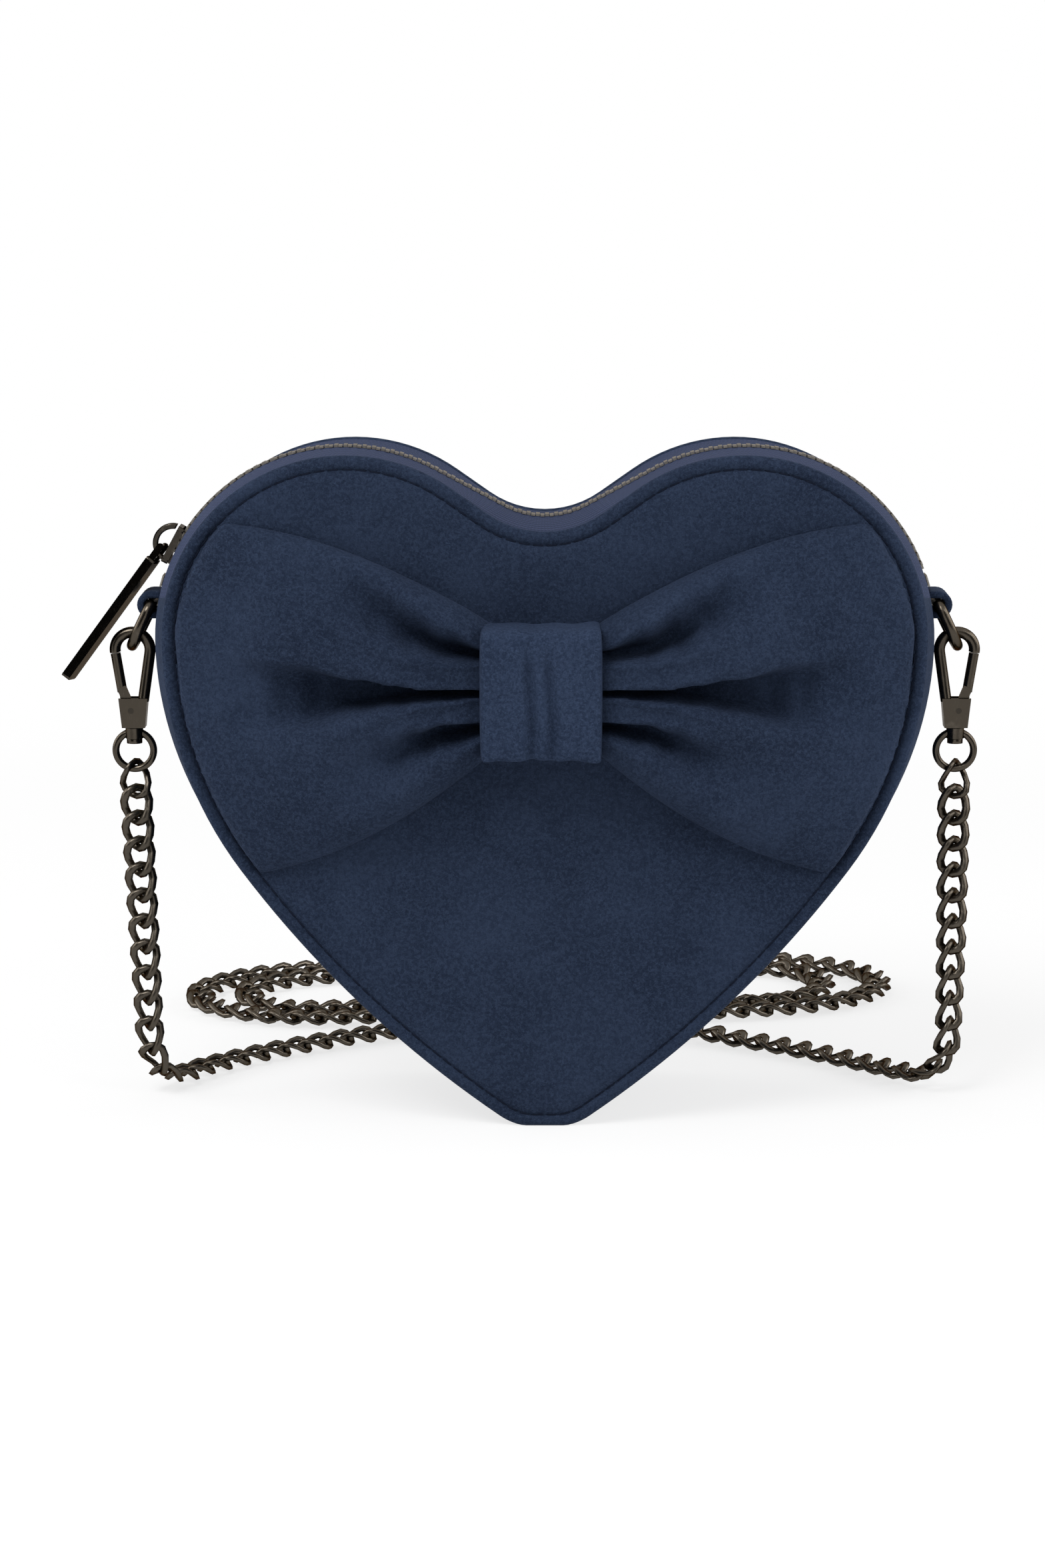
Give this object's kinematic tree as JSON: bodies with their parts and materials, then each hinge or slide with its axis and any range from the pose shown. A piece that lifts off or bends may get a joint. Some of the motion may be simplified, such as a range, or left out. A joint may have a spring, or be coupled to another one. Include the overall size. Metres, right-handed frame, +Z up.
{
  "type": "heart purse",
  "caption": "Heart-shaped crossbody purse in soft suede with a padded bow, a zip along the top, side tabs with trigger clasps and a long chain strap lying coiled behind it.",
  "frame": {"origin": "middle of the tip's flat, on the surface the purse stands on, halfway through its depth", "axes": "+X to the viewer's right when the bow faces the viewer, +Y away from the viewer, +Z up"},
  "size_m": [0.2469, 0.2031, 0.1799],
  "materials": {
    "suede": "napped navy suede, matt",
    "zip_tape": "woven herringbone tape",
    "lining": "plain woven lining",
    "board": "stiffening board",
    "gunmetal": "satin warm gunmetal plating",
    "polished_metal": "polished dark gunmetal plating"
  },
  "bodies": {
    "bag": {"front_panel": "suede", "back_panel": "suede", "lower_gusset": "suede", "bow_knot": "suede", "bow_wing_left": "suede", "bow_wing_right": "suede", "tab_left": "suede", "tab_right": "suede", "front_board": "board", "back_board": "board", "gusset_board": "board", "lining_front": "lining", "lining_back": "lining", "lining_gusset": "lining", "zip_tape_front": "zip_tape", "zip_tape_rear": "zip_tape", "zip_teeth_front": "gunmetal", "zip_teeth_rear": "gunmetal", "zip_stops": "gunmetal", "chain_left_drop": "gunmetal", "chain_left_run": "gunmetal", "chain_coil": "gunmetal", "chain_right_run": "gunmetal", "chain_right_drop": "gunmetal"},
    "slider": {"slider_body": "gunmetal", "slider_bridge": "gunmetal"},
    "pull": {"zip_pull": "polished_metal"},
    "ring_left": {"d_ring_left": "gunmetal"},
    "clasp_left": {"clasp_hook_left": "gunmetal", "clasp_pin_left": "gunmetal", "clasp_spring_left": "gunmetal"},
    "gate_left": {"clasp_gate_left": "gunmetal"},
    "eye_left": {"clasp_eye_left": "gunmetal"},
    "ring_right": {"d_ring_right": "gunmetal"},
    "clasp_right": {"clasp_hook_right": "gunmetal", "clasp_pin_right": "gunmetal", "clasp_spring_right": "gunmetal"},
    "gate_right": {"clasp_gate_right": "gunmetal"},
    "eye_right": {"clasp_eye_right": "gunmetal"}
  },
  "joints": [
    {"name": "slider_travel", "type": "hinge", "parent": "bag", "child": "slider", "pos_m": [-0.05332, 0, 0.1283], "axis": [0, 1, 0], "range_deg": [0, 80], "deforming": ["zip_teeth_front", "zip_teeth_rear"]},
    {"name": "pull_swing", "type": "hinge", "parent": "slider", "child": "pull", "pos_m": [-0.10224, 0, 0.15263], "axis": [0.1396, 0.9848, -0.1033], "range_deg": [0, 120]},
    {"name": "ring_left_play", "type": "hinge", "parent": "bag", "child": "ring_left", "pos_m": [-0.10521, 0, 0.13749], "axis": [0, 1, 0], "range_deg": [-3, 3]},
    {"name": "clasp_left_swing", "type": "hinge", "parent": "bag", "child": "clasp_left", "pos_m": [-0.11086, 0, 0.1259], "axis": [0, 1, 0], "range_deg": [-4, 20], "deforming": ["chain_left_drop"]},
    {"name": "gate_left_open", "type": "hinge", "parent": "clasp_left", "child": "gate_left", "pos_m": [-0.11146, 0, 0.10835], "axis": [0, 1, 0], "range_deg": [0, 15], "stiffness_Nm_per_rad": 0.03, "springref_deg": -22.92},
    {"name": "eye_left_swivel", "type": "hinge", "parent": "clasp_left", "child": "eye_left", "pos_m": [-0.11086, 0, 0.0955], "axis": [0, 0, 1], "range_deg": [-20, 20], "deforming": ["chain_left_drop"]},
    {"name": "ring_right_play", "type": "hinge", "parent": "bag", "child": "ring_right", "pos_m": [0.10521, 0, 0.13749], "axis": [0, -1, 0], "range_deg": [-3, 3]},
    {"name": "clasp_right_swing", "type": "hinge", "parent": "bag", "child": "clasp_right", "pos_m": [0.11086, 0, 0.1259], "axis": [0, -1, 0], "range_deg": [-4, 30], "deforming": ["chain_right_drop"]},
    {"name": "gate_right_open", "type": "hinge", "parent": "clasp_right", "child": "gate_right", "pos_m": [0.11146, 0, 0.10835], "axis": [0, -1, 0], "range_deg": [0, 15], "stiffness_Nm_per_rad": 0.03, "springref_deg": -22.92},
    {"name": "eye_right_swivel", "type": "hinge", "parent": "clasp_right", "child": "eye_right", "pos_m": [0.11086, 0, 0.0955], "axis": [0, 0, 1], "range_deg": [-20, 20], "deforming": ["chain_right_drop"]}
  ]
}
